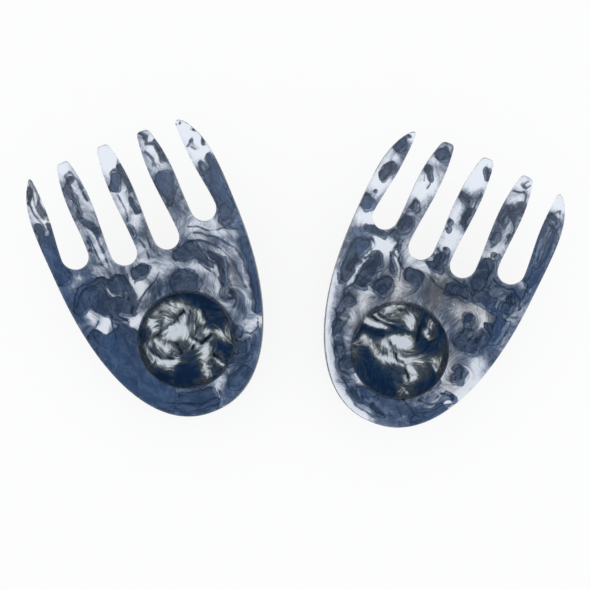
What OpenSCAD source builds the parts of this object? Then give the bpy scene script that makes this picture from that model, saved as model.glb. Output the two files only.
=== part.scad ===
// A pair of hand-shaped salad servers, each cast in marbled resin.
// Each hand is a dished plate that ends in five tines, bonded to a round grip knob on its back.
// The pair lies on a table with the knobs down and the hollows up.
// X runs across the pair, Y from the heels to the tips, Z up. The origin is on the table, at the
// middle of the pair's outline. Sizes are in millimetres and angles in degrees.

/* [Hand plate] */
// Length in plan, from the heel to the tip of the middle tine
hand_l = 190; // [160:1:230]
// Width in plan across the widest part
hand_w = 131; // [110:1:160]
// Distance from the heel to the widest part
widest_y = 122; // [98:1:150]
// How square the heel curve is, where 2 is an ellipse
heel_power = 2.2; // [2:0.1:3]
// How square the outer shoulders are, where 2 is an ellipse
shoulder_power = 3.8; // [3:0.1:6]
// How far the shoulder curves would rise above the tips
shoulder_rise = 7; // [4:0.5:12]
// Thickness where the knob is bonded on
plate_t = 6.5; // [5:0.1:9]
// Thickness at the tip of the middle tine
tip_t = 4; // [3:0.1:5]
// Radius of the dished back
back_r = 330; // [260:5:480]

/* [Tines] */
// Distance from the heel to the roots of the gaps, at the middle of the hand
palm_l = 112; // [92:1:135]
// Radius of the arc on which the gaps' roots lie
root_arc_r = 113; // [85:1:160]
// Width of each of the three inner tines at its root
tine_w = 13; // [11:0.1:16]
// Width of each outer tine at its root
outer_tine_w = 10.9; // [9:0.1:14]
// How much the bulge of the tines narrows each gap
bulge = 3.8; // [1:0.1:5]
// Where the bulge is, as a share of the gap's length
bulge_at = 0.6; // [0.45:0.01:0.75]
// How much wider than its root each gap is at the tips
mouth_flare = 2.5; // [0:0.1:3.5]
// The same on the sides that face the outer tines, negative where those tines lean in
outer_flare = -1.5; // [-3:0.1:3.5]
// How far the gaps lean in towards the middle tine, as a share of their distance from it
lean = 0.085; // [0:0.005:0.12]
// Radius of the arc on which the tips lie
tip_arc_r = 440; // [300:10:800]
// How far the left hand's gaps lie off its middle, positive towards the other hand
left_gaps_off = -1.5; // [-3:0.1:3]
// How far the right hand's gaps lie off its middle, positive away from the other hand
right_gaps_off = -0.2; // [-3:0.1:3]
// Corner radius of the tips
tip_corner_r = 1.8; // [0.5:0.1:2.5]

/* [Grip knob] */
// Diameter of the knob
knob_d = 68; // [54:1:80]
// Height of the back of the plate above the table, on the knob's axis
knob_h = 25; // [18:0.5:32]
// Radius of the rounded edge at the knob's foot
knob_edge_r = 7; // [2:0.5:10]
// Distance from the heel to the knob's axis
knob_y = 52; // [44:0.5:70]

/* [Layout] */
// Distance between the knobs, across the pair
knobs_apart = 145; // [128:1:240]
// How far the left knob lies ahead of the right one
stagger = 7.5; // [-20:0.5:20]
// Turn of the left hand, tips outwards
left_splay = 21.6; // [0:0.1:35]
// Turn of the right hand, tips outwards
right_splay = 23.4; // [0:0.1:35]

/* [Hidden] */
// Points on each quarter of the outer curve, each side of a gap, its root and a tip's corner
quarter_n = 36;
side_n = 24;
root_n = 16;
corner_n = 5;
// Fineness of the turned and the dished faces
$fn = 96;

half_w = hand_w / 2;
gap_w = (hand_w - 3 * tine_w - 2 * outer_tine_w) / 4;
inner_gap_x = (tine_w + gap_w) / 2;
outer_gap_x = inner_gap_x + gap_w + tine_w;
knob_r = knob_d / 2;
// The hollow is flatter than the back, which thins the plate towards the tips
tip_reach = hand_l - knob_y;
hollow_r = 1 / (1 / back_r - 2 * (plate_t - tip_t) / pow(tip_reach, 2));
// Height that clears the tips, for the shapes that are trimmed to the dish
clear_h = knob_h + plate_t + pow(tip_reach, 2) / back_r;

// Distance from the heel to the tips, at x
function tip_y(x) = hand_l - tip_arc_r + sqrt(pow(tip_arc_r, 2) - pow(x, 2));

// Distance from the heel to the centre of the round root of the gap at x
function root_y(x) = palm_l + root_arc_r - sqrt(pow(root_arc_r, 2) - pow(x, 2)) + gap_w / 2;

// Point at angle t on a squared quarter curve with half axes a and b
function squared(a, b, power, t) = [a * pow(cos(t), 2 / power), b * pow(sin(t), 2 / power)];

// Half width of a gap at a share s of its length, from the root's centre to the tips
function gap_half(s, flare) = s < bulge_at
    ? gap_w / 2 - bulge * (1 - cos(180 * s / bulge_at)) / 4
    : (gap_w - bulge + (bulge + flare) * pow((s - bulge_at) / (1 - bulge_at), 2)) / 2;

// Points up one side of the gap at x, from its root to the rounded corner of the tine's tip
function gap_side(x, side) = let (
    centre = root_y(x),
    flare = side * x > outer_gap_x / 2 ? outer_flare : mouth_flare,
    mouth_x = x * (1 - lean) + side * (gap_half(1, flare) + tip_corner_r),
    top = tip_y(mouth_x),
    run = top - centre,
    straight = run - tip_corner_r)
    concat(
        [for (i = [0 : side_n]) let (y = straight * i / side_n, s = y / run)
            [x * (1 - lean * s) + side * gap_half(s, flare), centre + y]],
        [for (i = [1 : corner_n]) let (a = 90 * i / corner_n)
            [mouth_x - side * tip_corner_r * cos(a), top - tip_corner_r * (1 - sin(a))]]);

// Points round the gap at x, from the tip on its right, down round its root, to the tip on its left
function gap_loop(x) = let (right = gap_side(x, 1), left = gap_side(x, -1)) concat(
    [for (i = [len(right) - 1 : -1 : 0]) right[i]],
    [for (i = [1 : root_n - 1]) let (a = 180 * i / root_n)
        [x + gap_w / 2 * cos(a), root_y(x) - gap_w / 2 * sin(a)]],
    left);

// Right half of the heel curve, from the heel to the widest part
function heel_curve() = [for (i = [0 : quarter_n])
    let (p = squared(half_w, widest_y, heel_power, 90 - 90 * i / quarter_n))
    [p.x, widest_y - p.y]];

// Right shoulder curve, from the widest part to the tip of an outer tine that starts past x
function shoulder_curve(x) = let (rise = hand_l + shoulder_rise - widest_y)
    [for (i = [1 : quarter_n]) let (p = squared(half_w, rise, shoulder_power, 90 * i / quarter_n))
        if (p.x > x + tip_corner_r) [p.x, min(widest_y + p.y, tip_y(p.x))]];

// The same points on the other side of the hand, in the reverse order
function mirrored(points) = [for (i = [len(points) - 1 : -1 : 0]) [-points[i].x, points[i].y]];

// A hand's whole outline, with its gaps off its middle by off
function hand_outline(off) = let (
    right_gap = gap_loop(outer_gap_x + off),
    left_gap = gap_loop(off - outer_gap_x),
    heel = heel_curve())
    concat(
        heel,
        shoulder_curve(right_gap[0].x),
        right_gap,
        gap_loop(inner_gap_x + off),
        gap_loop(off - inner_gap_x),
        left_gap,
        mirrored(shoulder_curve(-left_gap[len(left_gap) - 1].x)),
        mirrored([for (i = [1 : quarter_n]) heel[i]]));

// Where a hand's point lies on the table, for the hand whose knob is at place, turned by turn
function laid(p, place, turn) = let (y = p.y - knob_y)
    place + [p.x * cos(turn) - y * sin(turn), p.x * sin(turn) + y * cos(turn)];

left_outline = hand_outline(left_gaps_off);
right_outline = hand_outline(right_gaps_off);
left_place = [-knobs_apart / 2, stagger / 2];
right_place = -left_place;
pair_outline = concat(
    [for (p = left_outline) laid(p, left_place, left_splay)],
    [for (p = right_outline) laid(p, right_place, -right_splay)]);
pair_x = [for (p = pair_outline) p.x];
pair_y = [for (p = pair_outline) p.y];
middle = [max(pair_x) + min(pair_x), max(pair_y) + min(pair_y)] / 2;

// A ball whose lowest point is on the knob's axis at the height given
module ball_on(height, r) {
    translate([0, 0, height + r]) rotate([90, 0, 0]) sphere(r, $fn = 180);
}

// The dished plate with its tines, round the knob's axis
module hand_plate(outline) {
    intersection() {
        translate([0, -knob_y, 0]) linear_extrude(clear_h) polygon(outline);
        difference() {
            ball_on(knob_h, back_r);
            ball_on(knob_h + plate_t, hollow_r);
        }
    }
}

// The grip knob: a turned drum with a flat foot and a rounded edge, seated against the dished back
module grip_knob() {
    difference() {
        rotate_extrude() {
            square([knob_r - knob_edge_r, clear_h]);
            translate([0, knob_edge_r]) square([knob_r, clear_h - knob_edge_r]);
            translate([knob_r - knob_edge_r, knob_edge_r]) circle(knob_edge_r);
        }
        ball_on(knob_h, back_r);
    }
}

// Lays a hand on the table at its place in the pair
module lay(place, turn) {
    translate([place.x - middle.x, place.y - middle.y, 0]) rotate([0, 0, turn]) children();
}

module left_plate() {
    color([0.30, 0.38, 0.50]) lay(left_place, left_splay) hand_plate(left_outline);
}

module left_knob() {
    color([0.10, 0.15, 0.24]) lay(left_place, left_splay) grip_knob();
}

module right_plate() {
    color([0.30, 0.38, 0.50]) lay(right_place, -right_splay) hand_plate(right_outline);
}

module right_knob() {
    color([0.10, 0.15, 0.24]) lay(right_place, -right_splay) grip_knob();
}

left_plate();
left_knob();
right_plate();
right_knob();
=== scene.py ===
"""Looks of a pair of hand-shaped salad servers cast in marbled resin.

Each hand is a dished plate with five tines and a round grip knob bonded to its back. The CAD solids
give the shapes. This script rounds their edges, pours ink, smoke and clear windows into them in each
hand's own coordinates, and lights the pair in a pale studio. Lengths are in metres, apart from the
pours, whose places and widths are in millimetres from the heel along and across each hand.
"""

import logging
import math
from dataclasses import dataclass, field
from enum import Enum

import bpy
import numpy as np
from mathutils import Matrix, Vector

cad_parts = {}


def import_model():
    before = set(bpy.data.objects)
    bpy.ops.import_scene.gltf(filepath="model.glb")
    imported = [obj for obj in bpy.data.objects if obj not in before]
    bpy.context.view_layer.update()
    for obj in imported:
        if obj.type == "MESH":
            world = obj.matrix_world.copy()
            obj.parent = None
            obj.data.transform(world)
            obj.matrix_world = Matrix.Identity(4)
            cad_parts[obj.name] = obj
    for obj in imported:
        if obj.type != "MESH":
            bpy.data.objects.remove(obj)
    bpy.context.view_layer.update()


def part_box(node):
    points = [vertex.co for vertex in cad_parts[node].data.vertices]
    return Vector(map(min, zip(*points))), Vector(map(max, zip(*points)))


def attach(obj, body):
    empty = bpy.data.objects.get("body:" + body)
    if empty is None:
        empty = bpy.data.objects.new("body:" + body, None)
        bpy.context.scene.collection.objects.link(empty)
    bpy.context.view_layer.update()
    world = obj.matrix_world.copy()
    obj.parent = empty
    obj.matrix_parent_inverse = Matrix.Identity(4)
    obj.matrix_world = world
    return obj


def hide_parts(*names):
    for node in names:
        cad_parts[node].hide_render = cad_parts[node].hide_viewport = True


LOG = logging.getLogger("salad_hands")
MM = 0.001

# Sizes shared with the CAD, in millimetres
KNOB_TO_HEEL = 52.0
KNOB_RADIUS = 34.0
BACK_HEIGHT = 25.0
PLATE_THICKNESS = 6.5
TIP_THICKNESS = 4.0
BACK_RADIUS = 330.0
TIP_REACH = 138.0
HOLLOW_RADIUS = 1 / (1 / BACK_RADIUS - 2 * (PLATE_THICKNESS - TIP_THICKNESS) / TIP_REACH**2)
# Space left between the knob and the plate, so that their faces never fight
SEAT_GAP = 0.05
# How resin bends light, and how little it does where two pieces of it are bonded together
RESIN_IOR = 1.5
BONDED_IOR = 1.001
# Where the streaks start to run round the heel, how much their run is squeezed, and how much their
# grain changes from one side of the hand to the other
HEEL_CENTRE = 62.0
STREAK_SHARE = 0.22
STREAK_LEAN = 0.3
# How far from its edge a pour is still felt by its neighbours
FARTHEST_POUR = 14.0
# Range of a noise's number that is drawn out from 0 to 1
NOISE_RANGE = (0.3, 0.7)
# Places of the colour sockets of a Mix node: its two inputs and its output
MIX_FIRST, MIX_SECOND, MIX_RESULT = 6, 7, 2
# Millimetres in one unit of the noise's coordinates, and the step between the noise of two seeds
NOISE_UNIT = 10.0
SEED_STEP = 10.0

Pour = tuple[float, ...]
Pours = tuple[Pour, ...]
Triple = tuple[float, float, float]
Colour = Triple
Stops = tuple[tuple[float, Colour], ...]


class Side(Enum):
    """Which hand of the pair."""

    LEFT = "left"
    RIGHT = "right"


@dataclass(frozen=True)
class Pattern:
    """Where the pigments of one hand lie, in millimetres across it and along it from the heel.

    Ink, channels through the ink, thin lines and the knob's veins are crisp pours: a radius and then
    the points of a path. Clear windows, smoke, a painted sheen of the bluish sky, warmth and the
    knob's lights and darks are soft pours, which have a strength before the radius. A swirl is a turn
    in degrees, a radius and a centre. The seed fixes the noise.
    """

    ink: Pours
    channels: Pours
    lines: Pours
    clear: Pours
    smoke: Pours
    sky_sheen: Pours
    warm: Pours
    lights: Pours
    darks: Pours
    veins: Pours
    swirls: Pours
    seed: int


@dataclass(frozen=True)
class Mixing:
    """How strongly the stirring, the pours and the depth act on the pigments, in millimetres.

    A fade is a loss for each millimetre below the hollow. The window is the clear plate over the knob,
    and the bond is where the knob and the plate touch.
    """

    slip: float = 0.25
    bend: float = 1.6
    bend_size: float = 13.0
    ripple: float = 0.5
    ripple_size: float = 5.0
    second_axis: float = 300.0
    deepest: float = 40.0
    bond_edge: float = 1.0
    bond_depth: float = 0.6
    glow: float = 0.53
    light_gain: float = 0.7
    dark_gain: float = 0.55
    # Painted shade that darkens the knob's outer ring, where its rounded edge and side wall look dark
    painted_rim_shade: float = 0.12
    rim_width: float = 5.0
    vein_swell: float = 1.1
    vein_fade: float = 0.3
    window_edge: float = 3.0
    window_ink_loss: float = 8.0
    window_veil_loss: float = 1.2
    ink_fade: float = 0.12
    line_fade: float = 0.1
    veil: float = 0.6
    smoke_gain: float = 0.5
    clear_gain: float = 0.85
    veil_fade: float = 0.04
    channel_loss: float = 0.12


@dataclass(frozen=True)
class Spread:
    """Where a piece's points lie in its hand, in millimetres.

    The stirred places u and v carry the pours, and stir_u and stir_v the finer grain.
    """

    across: np.ndarray
    along: np.ndarray
    depth: np.ndarray
    from_axis: np.ndarray
    u: np.ndarray
    v: np.ndarray
    stir_u: np.ndarray
    stir_v: np.ndarray


@dataclass(frozen=True)
class Server:
    """One hand of the pair: its side, its turn on the table in degrees and its pigments."""

    side: Side
    splay: float
    pattern: Pattern

    @property
    def body(self) -> str:
        """The CAD body that this hand's pieces ride on."""
        return f"{self.side.value}_hand"

    def node(self, part: str) -> str:
        """The CAD node of one of this hand's parts."""
        return f"{self.side.value}_{part}"


LEFT_PATTERN = Pattern(
    ink=(
        (5, -57, 97, -55, 102, -48, 106, -40, 108),
        (12, -38, 97),
        (8, -36, 90, -33, 85),
        (5, -27, 105, -23, 101),
        (3, -22, 100, -22, 90, -27, 83),
        (4.5, -13, 105, -8, 107),
        (2.5, -17, 103),
        (4, 17, 106, 26, 109),
        (4, 24, 104, 31, 101),
        (2.5, 33, 98, 38, 93),
        (10.5, 14, 88),
        (4, 57, 119),
        (6, -60, 121, -59, 134, -58, 143),
        (2.2, -61, 148, -60, 156),
        (1.2, -53, 146, -54, 156),
        (6, 60, 124, 59, 138, 58, 145),
        (2.6, 61, 150, 60, 158),
        (1.4, 53, 150, 54, 156),
        (5.5, 28, 148, 27, 155),
        (2.6, 26, 140),
        (2.6, -6, 134, -6, 131),
        (3.5, -5, 163, -2, 167),
        (2, 5, 158, 5, 172),
        (1.6, 3, 143, 3, 152),
        (2.2, -32, 149, -28, 144, -26, 139),
        (1.3, -33, 154, -30, 160, -31, 168),
        (1.2, -31, 166, -34, 172, -28, 178),
        (1.3, -35, 136),
        (1, -36, 131),
        (1.2, -58, 172, -57, 175),
        (1, -58, 179, -54, 181),
        (1.1, 53, 171),
        (0.9, 52, 183),
        (1.2, 60, 166, 61, 170),
        (0.8, 58, 177),
        (1.1, 27, 183),
        (1, 31, 179, 32, 174),
        (13, -46, 62, -45, 48, -41, 34, -31, 22),
        (8, -38, 69, -33, 64),
        (6, -55, 74),
        (8, -14, 10, 2, 8),
        (5.5, 21, 13, 28, 16),
        (4, 27, 27, 20, 29),
        (5, 36, 35, 33, 28),
        (5, 26, 50, 32, 45),
        (3, 40, 79, 43, 92, 38, 98),
        (3, 60, 100, 61, 85, 58, 68, 54, 52),
    ),
    channels=(
        (1.4, -19, 111, -18.5, 102, -19, 92, -23, 82),
        (1.3, -19, 112, -10, 113, -2, 109, 0, 101),
        (1.6, 0, 99, 6, 101, 14, 100, 24, 98, 31, 91),
        (1.2, 13, 103, 20, 100, 27, 99),
        (1.3, 31, 112, 33, 103, 37, 94, 38, 84),
        (1.1, 50, 110, 54, 99, 55, 84, 54, 68, 50, 57),
        (1.2, -54, 92, -50, 86, -42, 84),
        (1.1, -33, 82, -27, 79, -22, 74),
        (1.0, -36, 104, -34, 98, -29, 95),
        (1.2, -14, 88, -4, 90, 2, 98),
        (1.0, 46, 122, 51, 115, 56, 111, 60, 111),
        (1.2, 8, 18, 7, 8),
        (0.9, 30, 44, 36, 38, 44, 40),
        (1.0, -56, 120, -50, 116, -40, 116),
    ),
    lines=(
        (0.5, -31, 109, -25, 109, -21, 105, -20, 98, -22, 90, -27, 83),
        (0.45, -60, 99, -56, 104, -48, 108, -40, 110),
        (0.35, -24, 84, -18, 90, -8, 95, 0, 101),
        (0.4, 25, 113, 37, 109, 46, 99, 50, 86, 51, 70),
        (0.35, 32, 116, 45, 109, 54, 97, 56, 80, 55, 62),
        (0.35, 33, 99, 40, 90, 43, 79, 42, 66, 38, 60),
        (0.35, 28, 97, 35, 88, 37, 77),
        (0.3, 41, 70, 39, 72, 37, 70, 38, 67, 41, 67, 43, 70, 40, 74),
        (0.4, -53, 158, -53, 170, -51, 184),
        (0.3, -55, 160, -55, 176, -53, 184),
        (0.35, -57, 152, -58, 164, -58, 174, -55, 180),
        (0.45, -32, 152, -32, 164, -30, 172, -31, 179, -27, 181, -25, 174, -24, 160),
        (0.35, -34, 140, -32, 128, -33, 118),
        (0.35, -28, 140, -28, 126, -30, 116),
        (0.5, -6, 166, -4, 171, 0, 172, 3, 168),
        (0.4, 5, 187, 5, 178, 3, 172),
        (0.35, -6, 158, -3, 148, -5, 140),
        (0.35, -4, 126, -2, 118, -3, 112),
        (0.35, 2, 128, 2, 118),
        (0.5, 25, 188, 28, 184, 26, 180, 30, 178, 31, 172, 30, 166),
        (0.4, 33, 183, 34, 176, 33, 168, 34, 160),
        (0.35, 24, 176, 26, 170, 25, 165),
        (0.6, 51, 169, 54, 172, 53, 168, 55, 165),
        (0.6, 57, 178, 60, 174, 61, 167),
        (0.35, 54, 158, 57, 150, 58, 138, 57, 128),
        (0.4, 50, 118, 53, 125, 59, 126, 62, 120, 60, 113, 54, 112, 50, 118),
        (0.35, 30, 122, 40, 116, 52, 112, 60, 108),
        (0.3, -36, 16, -20, 8, -4, 5, 6, 5),
        (0.3, -32, 21, -18, 13, -6, 9, 6, 9),
        (0.3, 36, 44, 42, 40, 48, 42, 50, 48),
        (0.3, 34, 30, 40, 33, 44, 31),
        (0.35, -54, 70, -56, 78, -50, 85),
        (0.35, -44, 70, -42, 78, -40, 84),
    ),
    clear=(
        (1.0, 5, -16, 94, -14, 98),
        (0.9, 4, -50, 74, -49, 79, -45, 82),
        (0.6, 3, -53, 86, -53, 92),
        (0.8, 4, -31, 77, -26, 76),
        (0.35, 6, -3, 112, -3, 122),
        (0.35, 6, 29, 124, 34, 120, 44, 117),
        (0.35, 5, 4, 103, -4, 103),
        (0.4, 4, 34, 90, 33, 76),
        (0.5, 5, 44, 97, 48, 93),
        (0.3, 4, 24, 96, 30, 92),
        (0.4, 3, 51, 104, 54, 90, 53, 74, 50, 60),
        (0.55, 4, 43, 44, 50, 46),
        (0.5, 5, 10, 16, 7, 3),
        (0.9, 6, -54, 184, -55, 160),
        (0.45, 4, -30, 122, -29, 134),
        (0.3, 6, 30, 168, 28, 162),
        (0.35, 6, -28, 158, -29, 172),
        (0.75, 7, -30, 185),
        (0.35, 4, -30, 142, -30, 132),
        (0.6, 6, -3, 150, -4, 158),
        (0.5, 4, 0, 140, -2, 136),
        (1.0, 9, 0, 176, 0, 184),
        (0.6, 7, 30, 180, 29, 172),
        (1.0, 8, 56, 164, 55, 176, 53, 184),
        (0.4, 4, 57, 106, 46, 112),
        (0.3, 4, -37, 114, -31, 118),
        (0.3, 3, -42, 106),
        (0.3, 2.5, 39, 69),
        (0.3, 4, 40, 88, 44, 76),
        (0.25, 4, -50, 116, -56, 112),
        (0.3, 3, 32, 66, 40, 56),
    ),
    smoke=(
        (0.5, 9, -60, 90, -60, 115),
        (0.35, 9, -50, 115, -38, 120),
        (0.45, 8, -58, 66, -56, 40),
        (0.4, 9, 40, 60, 42, 80, 40, 100),
        (0.5, 9, 58, 60, 60, 110),
        (0.5, 10, 44, 30, 34, 18),
        (0.6, 12, -22, 8, 14, 8),
        (0.5, 8, 0, 92, -22, 90),
        (0.4, 9, 26, 104, 46, 100, 54, 80),
        (0.35, 6, 0, 118, 4, 134),
        (0.5, 6, 29, 125, 28, 142),
    ),
    # Painted sheen of the bluish sky, as reflected off the polish
    sky_sheen=(
        (1, 16, -50, 70, -44, 40, -20, 12),
        (0.9, 12, -62, 110, -60, 140),
        (0.9, 12, 62, 150, 62, 110, 58, 60, 40, 20),
        (0.7, 10, -58, 90, -50, 116),
        (0.8, 12, 0, 4, 24, 8),
        (0.7, 8, 28, 155, 24, 175),
        (0.6, 8, -4, 165),
    ),
    warm=(
        (0.6, 8, 8, 128),
        (0.5, 9, -20, 92),
        (0.5, 9, 44, 90, 44, 76),
    ),
    lights=(
        (0.75, 3.5, -18, 71, -19, 65),
        (1.0, 6.5, -7, 59, 1, 57),
        (0.85, 3, 3, 62, 9, 70),
        (0.8, 3, 15, 66, 16, 59),
        (0.6, 3.5, 15, 52, 16, 46),
        (0.8, 3, -28, 56, -26, 48, -19, 42),
        (0.85, 3, -24, 44, -13, 39),
        (0.5, 4, -20, 38, -17, 34),
        (0.9, 1.6, -10, 43),
        (0.65, 3.5, 3, 49, 6, 45),
        (0.7, 4.5, 11, 39, 6, 32, 5, 22),
        (0.75, 1.6, 15, 31, 18, 24, 28, 20),
        (0.75, 3, -19, 57, -15, 50),
        (0.5, 5, -13, 77, 4, 76),
        (0.45, 4, 21, 48, 27, 44),
        (0.4, 4, -9, 70, -2, 73),
    ),
    darks=(
        (0.9, 5, -19, 82, -6, 85, 8, 83, 18, 78, 25, 68, 26, 58),
        (0.6, 6, 22, 66, 24, 58),
        (0.95, 8, -14, 28, -4, 26),
        (0.8, 5, -24, 33, -8, 32, 1, 30),
        (0.7, 4, 20, 40, 24, 32),
        (0.6, 4, -30, 62, -26, 66),
        (0.5, 5, 12, 22, 8, 20),
    ),
    veins=(
        (1.1, -26, 60, -17, 61, -8, 63, 0, 66, 10, 71),
        (1.8, 11, 69, 7, 60, 5, 51, 10, 43),
        (1.6, -25, 56, -21, 47, -13, 43, -6, 44, -5, 51),
        (2.0, 18, 47, 10, 43),
        (1.0, 3, 44, -2, 36),
        (1.2, -11, 67, -14, 58),
        (1.6, 14, 37, 19, 28),
        (1.2, 20, 72, 20, 58),
        (0.9, -9, 53, -2, 51),
    ),
    swirls=(
        (50, 12, -38, 96),
        (-90, 10, -12, 104),
        (45, 10, 14, 90),
        (-160, 7, 39, 69),
        (170, 6, 57, 119),
        (-140, 9, 38, 38),
        (120, 14, -10, 55),
        (-110, 10, 14, 48),
        (130, 8, -56, 76),
        (-90, 12, 26, 106),
        (100, 6, -30, 146),
        (-100, 6, 0, 164),
        (90, 6, 28, 178),
    ),
    seed=11,
)

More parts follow.
